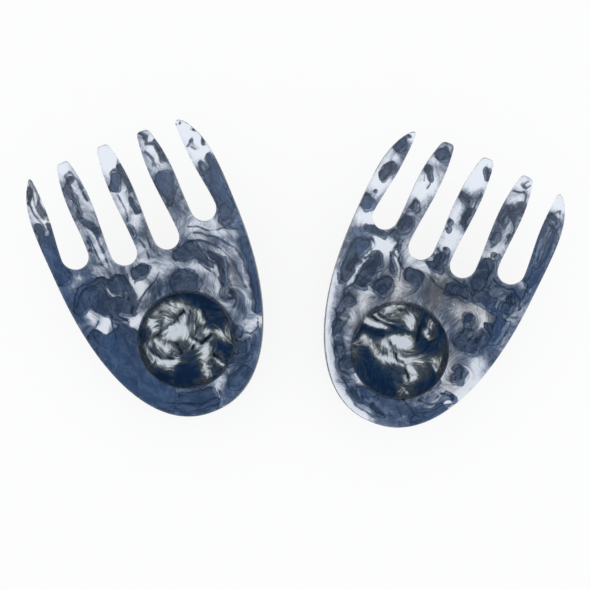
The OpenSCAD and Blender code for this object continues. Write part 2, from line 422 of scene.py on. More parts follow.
RIGHT_PATTERN = Pattern(
    ink=(
        (6.5, -52, 106, -53, 98),
        (5, -54, 96, -56, 86),
        (4, -56, 82),
        (6.5, -41, 98, -43, 88),
        (4, -47, 84, -40, 84),
        (4, -40, 103),
        (7.5, -28, 87),
        (3, -28, 108, -26, 100),
        (2, -29, 112, -25, 107, -23, 103),
        (3, -52, 119, -42, 118),
        (1.6, -37, 123, -31, 120, -29, 111),
        (4.2, -15, 102, -8, 101),
        (3, -6, 112, 2, 112),
        (4, -1, 117, 1, 119),
        (2, 0, 126),
        (6, 30, 126, 30, 115),
        (3.5, 14, 104, 26, 103),
        (5, 35, 106, 50, 104),
        (5, 55, 96, 54, 84),
        (4, 34, 89, 37, 82),
        (3, 46, 90, 49, 85, 47, 78),
        (5, 36, 74, 44, 72),
        (2.2, 53, 114, 56, 110, 54, 105),
        (2, 61, 120, 61, 116),
        (5.5, -60, 134),
        (1.2, -59, 143),
        (3.5, -56, 160, -58, 154),
        (5, -56, 175),
        (1, -56, 182, -53, 182),
        (5.5, -31, 131),
        (2.2, -33, 168, -29, 163),
        (4.6, -28, 180),
        (1.5, -31, 143, -31, 147),
        (2.6, -5, 161, 0, 161),
        (2, -5, 144),
        (1.5, -4, 138),
        (2, 4, 147, 5, 156),
        (2.4, 3, 183, 5, 178),
        (2, 26, 148, 26, 144),
        (1.8, 35, 150),
        (2.5, 25, 166, 26, 158),
        (2.5, 33, 170, 31, 162),
        (2.5, 33, 135),
        (4, 53, 165, 55, 145, 58, 130),
        (3, 60, 160, 62, 140, 62, 125),
        (2, 53, 172, 58, 168),
        (4, 42, 54),
        (2.5, 45, 49),
        (4, -46, 51, -44, 47),
        (4, -44, 70),
        (5, -30, 28, -24, 32),
        (4, -38, 36),
        (5, -16, 14, -6, 16),
        (2, -2, 8, 5, 7),
        (6.5, 31, 13, 42, 22),
        (4, 44, 36, 40, 30),
        (4, 26, 38, 30, 44),
    ),
    channels=(
        (1.8, -42, 109, -46, 103, -49, 95, -49.5, 84, -49, 78),
        (1.8, -29, 112, -25, 104, -19, 96, -16, 86),
        (1.3, -20, 109, -10, 107, -3, 106, -3, 97, -9, 93, -15, 92),
        (1.1, -36, 97, -34, 90, -36, 82),
        (1.2, -44, 78, -36, 79, -28, 78),
        (1.0, -59, 96, -60, 86, -57, 78),
        (1.2, -12, 113, -6, 109, 6, 109, 14, 106),
        (1.3, 38, 116, 48, 114, 49, 104),
        (1.0, 60, 112, 59, 102, 56, 100),
        (1.2, 36, 84, 44, 90, 49, 84, 49, 74),
        (1.1, -37, 42, -38, 56, -41, 66),
        (1.0, -30, 24, -22, 18, -12, 12),
        (1.0, -4, 12, 6, 12, 14, 10),
        (1.0, 22, 26, 34, 24, 44, 34),
        (0.9, 60, 100, 60, 88),
        (0.9, 55, 168, 56, 152, 58, 138),
    ),
    lines=(
        (0.45, -57, 80, -53, 80, -51, 88, -50, 96, -45, 104, -44, 110, -48, 113, -54, 111),
        (0.35, -56, 88, -54, 98, -56, 106),
        (0.35, -53, 84, -52, 94, -50, 102),
        (0.4, -48, 81, -46, 92, -42, 100, -39, 106),
        (0.35, -44, 84, -40, 92, -35, 97),
        (0.35, -42, 82, -36, 88, -30, 94, -24, 96),
        (0.3, -31, 86, -28, 89, -24, 87, -26, 83, -31, 84),
        (0.35, -30, 110, -26, 108, -22, 102, -20, 95),
        (0.45, -33, 124, -31, 117, -32, 108),
        (0.45, 50, 113, 53, 115, 57, 110, 57, 104, 54, 103),
        (0.3, 53, 111, 55, 108, 54, 105),
        (0.4, 36, 121, 44, 118, 52, 119, 58, 116, 61, 108),
        (0.35, 10, 110, 20, 108, 32, 110),
        (0.35, -4, 106, 4, 103, 16, 101, 28, 102),
        (0.35, -6, 124, -1, 120, -2, 112),
        (0.35, 3, 124, 2, 117, 5, 112),
        (0.35, 28, 128, 32, 122, 33, 112),
        (0.7, -58, 182, -55, 182.6, -52, 182),
        (0.35, -60, 176, -57, 170, -53, 176, -55, 180),
        (0.35, -57, 162, -55, 157, -57, 152),
        (0.5, -31, 148, -29, 148, -27, 143, -29, 139),
        (0.45, -31, 148, -34, 143, -35, 136, -33, 128),
        (0.4, -33, 182, -29, 185, -26, 180, -28, 175, -32, 177),
        (0.4, -32, 170, -28, 164, -29, 157),
        (0.35, -35, 168, -33, 160),
        (0.45, -7, 164, -4, 161, 0, 162, 2, 156, 1, 150),
        (0.4, 4, 168, 5, 158, 3, 148, 5, 142),
        (0.35, 1, 186, 3, 182, 2, 178),
        (0.4, 29, 186, 27, 183, 29, 181, 31, 184),
        (0.45, 24, 178, 28, 177, 31, 179, 33, 172),
        (0.45, 24, 168, 27, 164, 25, 158, 28, 154, 30, 160),
        (0.4, 34, 168, 32, 160, 35, 154, 34, 146),
        (0.4, 26, 150, 29, 146, 27, 140),
        (0.45, 50, 171, 54, 166, 59, 165),
        (0.4, 52, 172, 55, 177, 58, 170),
        (0.35, 52, 164, 55, 152, 56, 138, 57, 128),
        (0.35, 58, 164, 60, 152, 60, 138),
        (0.35, -49, 80, -51, 75, -49, 70, -46, 74, -49, 77),
        (0.35, -50, 68, -52, 60, -48, 56, -46, 64),
        (0.35, -48, 56, -47, 44, -41, 36),
        (0.3, -42, 60, -42, 48, -36, 38),
        (0.4, 40, 59, 46, 57, 46, 49, 41, 46, 38, 51),
        (0.3, 42, 56, 44, 51),
        (0.35, 36, 36, 42, 38, 45, 34),
        (0.35, -1, 7, 3, 9, 7, 7, 3, 5, -1, 7),
        (0.3, -30, 20, -18, 11, -4, 9),
        (0.3, -24, 13, -12, 6, 0, 4),
        (0.3, 12, 18, 20, 10, 30, 12),
        (0.3, 14, 24, 26, 16, 38, 20),
        (0.35, 24, 26, 34, 28, 40, 32),
        (0.35, 34, 88, 40, 82, 38, 72),
        (0.3, 46, 92, 50, 84, 48, 74),
    ),
    clear=(
        (1.0, 6, -40, 112, -34, 112),
        (0.8, 8, -58, 125, -52, 125),
        (0.85, 7, -61, 148, -58, 151),
        (0.8, 4, -63, 80, -59, 62, -53, 44, -44, 27, -33, 14, -18, 5, -4, 1),
        (0.35, 3, -45, 106, -50, 94, -50, 82),
        (0.45, 4, -26, 106, -19, 95, -17, 84),
        (0.5, 4, -37, 78, -34, 70),
        (0.5, 6, 26, 94, 38, 98),
        (0.8, 4, 41, 95, 45, 91),
        (0.65, 6, 50, 64, 53, 54, 48, 42, 42, 34),
        (0.4, 4, 33, 53, 34, 46),
        (0.9, 8, -31, 155, -29, 160),
        (0.5, 4, -30, 175),
        (0.9, 7, 0, 130, 0, 136),
        (0.6, 5, -3, 153, -3, 147),
        (1.0, 9, -3, 174, -2, 186),
        (0.4, 5, -3, 166, 0, 168),
        (0.7, 5, 30, 135, 31, 142),
        (0.4, 4, 31, 150, 30, 158),
        (0.6, 4, 27, 172, 31, 173),
        (0.7, 6, 25, 184, 34, 184),
        (1.0, 7, 53, 181, 51, 184),
        (0.35, 4, 56, 158, 57, 140),
        (0.4, 4, 56, 174, 57, 166),
        (0.5, 5, 56, 124, 58, 132),
        (0.45, 5, 4, 152, 3, 160),
        (0.4, 4, -56, 166, -57, 146),
        (0.9, 5, -56, 186, -51, 184),
        (0.5, 4, -61, 168, -60, 158),
        (0.35, 5, -38, 66, -38, 52, -34, 42),
        (0.45, 4, -21, 25, -17, 21),
        (0.35, 3, -27, 86),
        (0.4, 5, -20, 112, -6, 108),
        (0.3, 4, 30, 20, 40, 34),
        (0.3, 3, -3, 110, 4, 108),
        (0.4, 4, 0, 112, -8, 118),
    ),
    smoke=(
        (0.6, 12, 0, 100, 30, 100),
        (0.45, 12, 46, 90, 46, 70),
        (0.5, 8, -38, 60, -36, 40),
        (0.35, 8, -42, 76, -30, 72),
        (0.6, 12, 10, 14, 36, 18),
        (0.5, 8, -30, 24, -14, 14),
        (0.4, 7, -58, 115, -60, 100),
        (0.5, 8, 54, 118, 56, 140),
        (0.35, 6, 0, 108, -8, 118),
        (0.3, 6, 4, 145, 3, 165),
        (0.35, 7, 28, 142, 28, 166),
        (0.4, 7, 40, 115, 52, 116),
        (0.35, 8, -20, 96, -18, 84),
        (0.35, 8, 22, 86, 32, 76),
        (0.3, 8, -46, 70, -40, 50),
        (0.25, 7, -31, 92, -38, 82),
    ),
    # Painted sheen of the bluish sky, as reflected off the polish
    sky_sheen=(
        (1, 14, 30, 8, 46, 24),
        (0.8, 12, 52, 100, 56, 80),
        (0.9, 10, 58, 165, 62, 120),
        (0.7, 8, -52, 106, -60, 134),
        (0.7, 12, -12, 14, 10, 12),
        (0.6, 8, -28, 180, -56, 175),
        (0.5, 10, 46, 60),
    ),
    warm=(
        (1.0, 10, 26, 95, 40, 96),
        (1.0, 9, -21, 100, -16, 84),
        (0.8, 10, 4, 106, 8, 92),
        (0.7, 9, -36, 74, -34, 60),
        (0.7, 9, 34, 60, 38, 48),
        (0.5, 8, 30, 140),
    ),
    lights=(
        (1.0, 2.6, -28, 60, -12, 61),
        (1.0, 5.5, -8, 52, -2, 56, 4, 59),
        (0.8, 3.5, 1, 75, 2, 69),
        (0.65, 4.5, -16, 75, -8, 82),
        (0.45, 4, -18, 71, -12, 72),
        (0.9, 2, 13, 69, 17, 66),
        (0.6, 2.5, 16, 80, 15, 74),
        (0.6, 3, -24, 49, -14, 44, -6, 40),
        (0.8, 3, -10, 41, 4, 43, 16, 41),
        (0.5, 3.5, 12, 47, 20, 49),
        (0.7, 4, 16, 35, 22, 38),
        (0.8, 1, -24, 66, -10, 66),
        (0.5, 3, -23, 24, -18, 21),
        (0.7, 3, 30, 54, 32, 48),
        (0.6, 3, -3, 47, 8, 45),
        (0.6, 1, 16, 26, 24, 22),
        (0.4, 3, 8, 28, 14, 24),
        (0.35, 6, 20, 36, 26, 52),
        (0.3, 5, -28, 40, -24, 32),
        (0.3, 5, -4, 74, 10, 80),
    ),
    darks=(
        (0.6, 5, -22, 78, -14, 85, 2, 87, 16, 84, 26, 74),
        (0.7, 4, 6, 64, 20, 58, 26, 62),
        (0.8, 4, -26, 55, -12, 55, -10, 62, 8, 64),
        (0.85, 8, -18, 34, -8, 27, 4, 24),
        (0.7, 6, 28, 42, 26, 32),
        (0.7, 3, 8, 78, 9, 70),
        (0.8, 3, 22, 76, 24, 68),
    ),
    veins=(
        (1.2, -32, 64, -8, 64),
        (0.9, -30, 68, -10, 68),
        (1.2, -22, 55, -10, 54, -4, 50),
        (1.8, 9, 62, 7, 76),
        (1.2, 10, 66, 18, 62, 22, 66),
        (0.8, -10, 52, -2, 51),
        (0.9, 0, 45, 10, 43),
        (1.6, 10, 40, 15, 34),
        (1.0, -14, 48, 0, 47),
        (0.8, 14, 72, 18, 70),
    ),
    swirls=(
        (60, 9, -52, 100),
        (-60, 9, -29, 88),
        (110, 10, -42, 96),
        (-130, 9, -12, 101),
        (120, 9, 34, 84),
        (170, 7, 55, 109),
        (-170, 7, 42, 54),
        (100, 12, 0, 60),
        (-100, 10, 16, 40),
        (140, 10, -40, 50),
        (-140, 9, -26, 28),
        (120, 7, -28, 180),
        (-120, 7, -31, 132),
        (110, 7, 29, 172),
        (100, 8, 30, 120),
    ),
    seed=29,
)


class Grain:
    """Smooth repeatable noise over a plane, from about -1 to 1."""

    cells: int = 256
    swing: float = 1.5

    def __init__(self, seed: int) -> None:
        """Draws the table of directions.

        Args:
            seed: number that fixes the noise.
        """
        draw = np.random.default_rng(seed)
        self._order = draw.permutation(self.cells)
        turns = draw.uniform(0, 2 * math.pi, self.cells)
        self._ways = np.stack([np.cos(turns), np.sin(turns)], axis=1)

    def at(self, u: np.ndarray, v: np.ndarray, size: float) -> np.ndarray:
        """Noise at places.

        Args:
            u: places across the hand.
            v: places along the hand.
            size: size of the noise's features.

        Returns:
            One value for each place.
        """
        x, y = u / size, v / size
        i, j = np.floor(x).astype(int), np.floor(y).astype(int)
        x, y = x - i, y - j
        total = np.zeros_like(x)
        for di in (0, 1):
            for dj in (0, 1):
                column = self._order[(i + di) % self.cells]
                way = self._ways[self._order[(column + j + dj) % self.cells]]
                lean = way[:, 0] * (x - di) + way[:, 1] * (y - dj)
                near_x = 1 - np.abs(x - di)
                near_y = 1 - np.abs(y - dj)
                total += lean * near_x**2 * (3 - 2 * near_x) * near_y**2 * (3 - 2 * near_y)
        return total * self.swing


def path_distance(path: Pour, u: np.ndarray, v: np.ndarray) -> np.ndarray:
    """Distance from places to a path.

    Args:
        path: the path's points, one after another.
        u: places across the hand.
        v: places along the hand.

    Returns:
        The distance to the nearest point of the path.
    """
    points = np.array(path, float).reshape(-1, 2)
    if len(points) == 1:
        return np.hypot(u - points[0, 0], v - points[0, 1])
    nearest = np.full_like(u, np.inf)
    for start, end in zip(points[:-1], points[1:]):
        along = end - start
        share = ((u - start[0]) * along[0] + (v - start[1]) * along[1]) / (along @ along)
        share = np.clip(share, 0, 1)
        gap = np.hypot(u - start[0] - share * along[0], v - start[1] - share * along[1])
        nearest = np.minimum(nearest, gap)
    return nearest


def crisp_pours(pours: Pours, u: np.ndarray, v: np.ndarray) -> np.ndarray:
    """Signed depth inside the nearest pour, in millimetres, positive inside.

    Args:
        pours: radius and path of each pour.
        u: places across the hand.
        v: places along the hand.

    Returns:
        The depth, with neighbouring pours run together.
    """
    total = np.full_like(u, math.exp(-FARTHEST_POUR))
    for radius, *path in pours:
        inside = radius - path_distance(tuple(path), u, v)
        total += np.exp(np.clip(inside, -FARTHEST_POUR, FARTHEST_POUR))
    return np.log(total)


def soft_pours(pours: Pours, u: np.ndarray, v: np.ndarray) -> np.ndarray:
    """Strength of blurred pours.

    Args:
        pours: strength, radius and path of each pour.
        u: places across the hand.
        v: places along the hand.

    Returns:
        The strongest pour at each place, from 0.
    """
    total = np.zeros_like(u)
    for strength, radius, *path in pours:
        gap = path_distance(tuple(path), u, v) / radius
        total = np.maximum(total, strength * np.exp(-(gap**2)))
    return total


def swirled(swirls: Pours, u: np.ndarray, v: np.ndarray) -> tuple[np.ndarray, np.ndarray]:
    """Coordinates stirred by eddies.

    Args:
        swirls: turn in degrees, radius and centre of each eddy.
        u: places across the hand.
        v: places along the hand.

    Returns:
        The stirred places.
    """
    for turn, radius, centre_u, centre_v in swirls:
        x, y = u - centre_u, v - centre_v
        angle = math.radians(turn) * np.exp(-(x**2 + y**2) / radius**2)
        u = centre_u + x * np.cos(angle) - y * np.sin(angle)
        v = centre_v + x * np.sin(angle) + y * np.cos(angle)
    return u, v


def points_of(piece: bpy.types.Object) -> np.ndarray:
    """Reads a piece's points.

    Args:
        piece: the piece.

    Returns:
        A row for each point, in metres.
    """
    points = np.zeros(len(piece.data.vertices) * 3)
    piece.data.vertices.foreach_get("co", points)
    return points.reshape(-1, 3)


def move_points(piece: bpy.types.Object, points: np.ndarray) -> None:
    """Puts a piece's points in new places."""
    piece.data.vertices.foreach_set("co", points.ravel())
    piece.data.update()


class Graph:
    """Short calls that build a material's or the world's nodes."""

    def __init__(self, owner: bpy.types.Material | bpy.types.World) -> None:
        """Empties the owner's node tree.

        Args:
            owner: the material or world whose nodes are built.
        """
        owner.use_nodes = True
        self.tree = owner.node_tree
        self.tree.nodes.clear()

    def add(self, kind: str, **settings: object) -> bpy.types.Node:
        """A new node, with its properties set.

        Args:
            kind: the node's type.
            settings: values for the node's properties.

        Returns:
            The node.
        """
        node = self.tree.nodes.new(kind)
        for name, value in settings.items():
            setattr(node, name, value)
        return node

    def feed(self, socket: bpy.types.NodeSocket, value: object) -> None:
        """Links an output to a socket, or sets the socket's own value.

        Args:
            socket: the input that is fed.
            value: an output, a number, a vector or a colour.
        """
        if isinstance(value, bpy.types.NodeSocket):
            self.tree.links.new(value, socket)
        elif isinstance(value, tuple) and len(value) == 3 and socket.type == "RGBA":
            socket.default_value = (*value, 1.0)
        else:
            socket.default_value = value

    def amount(self, name: str) -> bpy.types.NodeSocket:
        """The number that the mesh carries under a name."""
        return self.add("ShaderNodeAttribute", attribute_name=name).outputs["Fac"]

    def place(self, name: str) -> bpy.types.NodeSocket:
        """The vector that the mesh carries under a name."""
        return self.add("ShaderNodeAttribute", attribute_name=name).outputs["Vector"]

    def math(self, operation: str, *values: object) -> bpy.types.NodeSocket:
        """A sum or other function of numbers.

        Args:
            operation: the name of the function.
            values: its inputs.

        Returns:
            The result.
        """
        node = self.add("ShaderNodeMath", operation=operation)
        for socket, value in zip(node.inputs, values):
            self.feed(socket, value)
        return node.outputs[0]

    def ramp(self, value: object, low: float, high: float, start: float = 0.0,
             end: float = 1.0) -> bpy.types.NodeSocket:
        """A smooth step.

        Args:
            value: the number that drives it.
            low: where it starts.
            high: where it ends.
            start: the result below low.
            end: the result above high.

        Returns:
            The result.
        """
        node = self.add("ShaderNodeMapRange", interpolation_type="SMOOTHSTEP")
        for socket, given in zip(node.inputs, (value, low, high, start, end)):
            self.feed(socket, given)
        return node.outputs[0]

    def stretch(self, vector: bpy.types.NodeSocket, factors: Triple) -> bpy.types.NodeSocket:
        """A vector with each axis multiplied.

        Args:
            vector: the vector.
            factors: the factor of each axis.

        Returns:
            The product.
        """
        node = self.add("ShaderNodeVectorMath", operation="MULTIPLY")
        self.feed(node.inputs[0], vector)
        node.inputs[1].default_value = factors
        return node.outputs[0]

    def shift(self, vector: bpy.types.NodeSocket, other: object) -> bpy.types.NodeSocket:
        """A vector moved by another.

        Args:
            vector: the vector.
            other: an output or three numbers.

        Returns:
            The sum.
        """
        node = self.add("ShaderNodeVectorMath", operation="ADD")
        self.feed(node.inputs[0], vector)
        self.feed(node.inputs[1], other)
        return node.outputs[0]

    def noise(self, vector: bpy.types.NodeSocket, scale: float, detail: float,
              roughness: float = 0.5) -> bpy.types.Node:
        """A noise texture.

        Args:
            vector: the places it is read at.
            scale: how many features fit in a unit.
            detail: how many finer layers it has.
            roughness: the strength of each finer layer.

        Returns:
            The node.
        """
        node = self.add("ShaderNodeTexNoise")
        self.feed(node.inputs["Vector"], vector)
        node.inputs["Scale"].default_value = scale
        node.inputs["Detail"].default_value = detail
        node.inputs["Roughness"].default_value = roughness
        return node

    def grain(self, vector: bpy.types.NodeSocket, scale: float, roughness: float = 0.45
              ) -> bpy.types.NodeSocket:
        """The number of a two-step noise texture, from 0 to 1."""
        return self.noise(vector, scale, 2.0, roughness).outputs["Fac"]

    def centred(self, colour: bpy.types.NodeSocket, size: float) -> bpy.types.NodeSocket:
        """A vector from a noise texture's colour.

        Args:
            colour: the colour.
            size: the vector's full range along each axis.

        Returns:
            The vector, which goes up to half the size either way.
        """
        node = self.add("ShaderNodeVectorMath", operation="MULTIPLY_ADD")
        self.feed(node.inputs[0], colour)
        node.inputs[1].default_value = (size, size, size)
        node.inputs[2].default_value = (-size / 2, -size / 2, -size / 2)
        return node.outputs[0]

    def threads(self, value: bpy.types.NodeSocket, bands: float, width: float) -> bpy.types.NodeSocket:
        """Thin lines along the contours of a number."""
        share = self.math("FRACT", self.math("MULTIPLY", value, bands))
        return self.ramp(self.math("ABSOLUTE", self.math("SUBTRACT", share, 0.5)), 0.0, width, 1.0, 0.0)

    def fronts(self, value: bpy.types.NodeSocket, bands: float) -> bpy.types.NodeSocket:
        """Lines that start sharp and fade away on one side, along the contours of a number."""
        share = self.math("FRACT", self.math("MULTIPLY", value, bands))
        return self.math("MULTIPLY", self.ramp(share, 0.0, 0.2), self.math("SUBTRACT", 1.0, share))

    def total(self, first: bpy.types.NodeSocket, *others: tuple[bpy.types.NodeSocket, float, float]
              ) -> bpy.types.NodeSocket:
        """A sum of shares.

        Args:
            first: the number that the shares are added to.
            others: value, factor and offset of each share.

        Returns:
            The sum.
        """
        total = first
        for value, factor, offset in others:
            share = self.add("ShaderNodeMath", operation="MULTIPLY_ADD")
            self.feed(share.inputs[0], value)
            share.inputs[1].default_value = factor
            share.inputs[2].default_value = offset
            total = self.math("ADD", total, share.outputs[0])
        return total

    def blend(self, share: object, first: object, second: object) -> bpy.types.NodeSocket:
        """A colour between two others.

        Args:
            share: 0 for the first colour, 1 for the second.
            first: a colour or an output.
            second: a colour or an output.

        Returns:
            The colour.
        """
        node = self.add("ShaderNodeMix", data_type="RGBA")
        self.feed(node.inputs[0], share)
        self.feed(node.inputs[MIX_FIRST], first)
        self.feed(node.inputs[MIX_SECOND], second)
        return node.outputs[MIX_RESULT]

    def shade(self, value: object, stops: Stops) -> bpy.types.NodeSocket:
        """A colour read from a row of stops.

        Args:
            value: the number that is looked up.
            stops: place and colour of each stop.

        Returns:
            The colour.
        """
        node = self.add("ShaderNodeValToRGB")
        bar = node.color_ramp
        while len(bar.elements) < len(stops):
            bar.elements.new(0.5)
        for element, (spot, colour) in zip(bar.elements, stops):
            element.position = spot
            element.color = (*colour, 1.0)
        self.feed(node.inputs[0], value)
        return node.outputs[0]

    def resin(self, colour: bpy.types.NodeSocket, clear: bpy.types.NodeSocket,
              roughness: bpy.types.NodeSocket) -> None:
        """Ends a material as cast resin, which bends no light where it is bonded.

        Args:
            colour: colour of the pigment.
            clear: how much light passes.
            roughness: how dull the polish is.
        """
        shader = self.add("ShaderNodeBsdfPrincipled")
        self.feed(shader.inputs["Base Color"], colour)
        self.feed(shader.inputs["Transmission Weight"], clear)
        self.feed(shader.inputs["Roughness"], roughness)
        self.feed(shader.inputs["IOR"], self.ramp(self.amount("seat"), 0.0, 1.0, RESIN_IOR, BONDED_IOR))
        self.surface(shader.outputs[0])

    def surface(self, shader: bpy.types.NodeSocket) -> None:
        """Ends a material's nodes with its surface."""
        self.tree.links.new(shader, self.add("ShaderNodeOutputMaterial").inputs["Surface"])


def swing(mark: bpy.types.NodeSocket, size: float) -> tuple[bpy.types.NodeSocket, float, float]:
    """A mark's share of a total, up to half the size either way."""
    return mark, size, -size / 2


def tone(red: int, green: int, sheen: int) -> Colour:
    """Linear colour for a display colour given from 0 to 255.

    Args:
        red: the red share.
        green: the green share.
        sheen: the blue share.

    Returns:
        The colour that nodes take.
    """
    dim_end, dim_slope = 10, 3294.6
    return tuple(
        ((share / 255 + 0.055) / 1.055) ** 2.4 if share > dim_end else share / dim_slope
        for share in (red, green, sheen)
    )


@dataclass(frozen=True)
class Marks:
    """Procedural marks in the plate's resin, each from 0 to 1, and how blurred the ink's edge is."""

    streaks: bpy.types.NodeSocket
    fronts: bpy.types.NodeSocket
    clouds: bpy.types.NodeSocket
    wobble: bpy.types.NodeSocket
    threads: bpy.types.NodeSocket
    blur: bpy.types.NodeSocket


@dataclass(frozen=True)
class PlateResin:
    """Polished clear resin with ink, smoke and clear windows.

    Wobbles, blurs and widths are in millimetres. A patch is the part of the noise that a mark reads,
    and the polish is the range of the roughness.
    """

    name: str = "marbled_resin"
    smokes: Stops = (
        (0.00, tone(232, 239, 249)),
        (0.12, tone(205, 213, 226)),
        (0.28, tone(172, 180, 195)),
        (0.42, tone(148, 156, 171)),
        (0.56, tone(122, 133, 150)),
        (0.68, tone(97, 110, 130)),
        (0.80, tone(76, 91, 114)),
        (0.90, tone(60, 76, 100)),
        (1.00, tone(42, 58, 82)),
    )
    ink: Colour = tone(46, 62, 87)
    thin_ink: Colour = tone(90, 105, 127)
    # Ink colours where the painted sheen of the bluish sky lies
    sheened_ink: Colour = tone(50, 76, 112)
    sheened_thin_ink: Colour = tone(82, 106, 142)
    line: Colour = tone(24, 38, 58)
    # Colour of the painted sheen of the bluish sky
    sky_sheen: Colour = tone(70, 94, 132)
    warm: Colour = tone(172, 160, 134)
    warmth: float = 0.24
    solid_share: float = 0.33
    ink_wobble: float = 4.0
    ink_blur: float = 0.9
    edge_width: float = 0.7
    line_wobble: float = 1.2
    line_share: float = 0.95
    thread_share: float = 0.5
    near_smoke: float = 0.1
    line_smoke: float = 0.55
    streak_smoke: float = 0.24
    cloud_smoke: float = 0.24
    front_smoke: float = 0.28
    streak_bend: Triple = (0.7, 0.3, 0.5)
    front_patch: Triple = (3.0, 7.0, 1.0)
    thread_patch: Triple = (9.0, 2.0, 5.0)
    polish: tuple[float, float] = (0.03, 0.06)

    def marks(self, g: Graph) -> Marks:
        """Draws the marks that the smoke and the ink share.

        Args:
            g: the material's graph.

        Returns:
            The marks.
        """
        spot = g.place("spot")
        curl = g.centred(g.noise(spot, scale=0.9, detail=1.5).outputs["Color"], 1.5)
        swirl = g.shift(spot, curl)
        fine = g.noise(swirl, scale=2.2, detail=1.0, roughness=0.4).outputs["Color"]
        bent = g.stretch(g.shift(curl, g.centred(fine, 0.5)), self.streak_bend)
        stirred = g.shift(g.place("flow"), bent)
        clouds = g.ramp(g.grain(swirl, 1.2, 0.5), *NOISE_RANGE)
        threads = g.threads(g.grain(g.shift(stirred, self.thread_patch), 1.3), bands=5.0, width=0.16)
        return Marks(
            streaks=g.ramp(g.grain(stirred, 2.2), *NOISE_RANGE),
            fronts=g.fronts(g.grain(g.shift(stirred, self.front_patch), 1.2), bands=9.0),
            clouds=clouds,
            wobble=g.grain(swirl, 1.5),
            threads=g.math("MULTIPLY", threads, g.ramp(clouds, 0.3, 0.8)),
            blur=g.ramp(g.noise(spot, scale=0.8, detail=1.0).outputs["Fac"], 0.52, 0.72, 0.2, 1.0),
        )

    def thickness(self, g: Graph, marks: Marks, near: bpy.types.NodeSocket,
                  line: bpy.types.NodeSocket) -> bpy.types.NodeSocket:
        """How thick the smoke is, from clear at 0 to full at 1.

        Args:
            g: the material's graph.
            marks: the marks that break the smoke up.
            near: how near the ink is.
            line: where the thin lines run.

        Returns:
            The thickness.
        """
        veil = g.amount("veil")
        gate = g.ramp(veil, -0.3, 0.4)
        shares = [(near, self.near_smoke, 0.0), (line, self.line_smoke, 0.0)]
        for mark, middle, share in (
            (marks.streaks, 0.5, self.streak_smoke),
            (marks.clouds, 0.5, self.cloud_smoke),
            (marks.fronts, 0.4, self.front_smoke),
        ):
            gated = g.math("MULTIPLY", g.math("SUBTRACT", mark, middle), gate)
            shares.append((gated, share, 0.0))
        return g.ramp(g.total(veil, *shares), -0.05, 1.05)

    def smoke_colour(self, g: Graph, veil: bpy.types.NodeSocket) -> bpy.types.NodeSocket:
        """Mixes the smoke's colour: grey by its thickness, a painted sheen of bluish sky and a little
        warmth.

        Args:
            g: the material's graph.
            veil: how thick the smoke is.

        Returns:
            The colour.
        """
        # Painted sheen of the bluish sky, laid over the thicker smoke
        sheen = g.math("MULTIPLY", g.amount("sky_sheen"), g.ramp(veil, 0.2, 0.8, 0.0, 0.8))
        smoke = g.blend(sheen, g.shade(veil, self.smokes), self.sky_sheen)
        return g.blend(g.math("MULTIPLY", g.amount("warm"), self.warmth), smoke, self.warm)

    def ink_colour(self, g: Graph, marks: Marks) -> bpy.types.NodeSocket:
        """Mixes the ink's colour, which is mottled, and bluer where the painted sky sheen lies.

        Args:
            g: the material's graph.
            marks: the marks that mottle it.

        Returns:
            The colour.
        """
        mottle = g.total(marks.streaks, swing(marks.clouds, 0.5), (marks.fronts, -0.9, 0.3))
        mottle = g.ramp(mottle, -0.2, 1.3)
        # Ink turns bluer under the painted sheen of the sky
        return g.blend(g.amount("sky_sheen"), g.blend(mottle, self.ink, self.thin_ink),
                       g.blend(mottle, self.sheened_ink, self.sheened_thin_ink))

    def make(self) -> bpy.types.Material:
        """Builds the material.

        Returns:
            The material, which reads the amounts ink, line, veil, the painted sky sheen, warm and seat
            and the places spot and flow from the mesh.
        """
        material = bpy.data.materials.new(self.name)
        g = Graph(material)
        marks = self.marks(g)
        depth = g.total(g.amount("ink"), swing(marks.wobble, self.ink_wobble))
        inside = g.ramp(g.math("DIVIDE", depth, marks.blur), -self.ink_blur, self.ink_blur)
        edge = g.ramp(g.math("ABSOLUTE", depth), 0.0, self.edge_width, 1.0, 0.0)
        line = g.ramp(g.total(g.amount("line"), swing(marks.wobble, self.line_wobble)), -0.7, 0.3)
        line = g.math("MULTIPLY", line, g.ramp(marks.clouds, 0.0, 0.4, 0.4, 1.0))
        veil = self.thickness(g, marks, g.ramp(depth, -2.5, 0.5), line)

        colour = g.blend(inside, self.smoke_colour(g, veil), self.ink_colour(g, marks))
        lines = g.math("MULTIPLY", g.math("MAXIMUM", edge, line), self.line_share)
        smoky = g.ramp(veil, 0.2, 0.5, 0.0, self.thread_share)
        lines = g.math("MAXIMUM", lines, g.math("MULTIPLY", marks.threads, smoky))
        colour = g.blend(lines, colour, self.line)
        body = g.math("MAXIMUM", g.math("MAXIMUM", inside, veil), lines)
        g.resin(colour, g.ramp(body, 0.0, 1.0, 1.0, 1.0 - self.solid_share),
                g.ramp(marks.streaks, 0.0, 1.0, *self.polish))
        return material


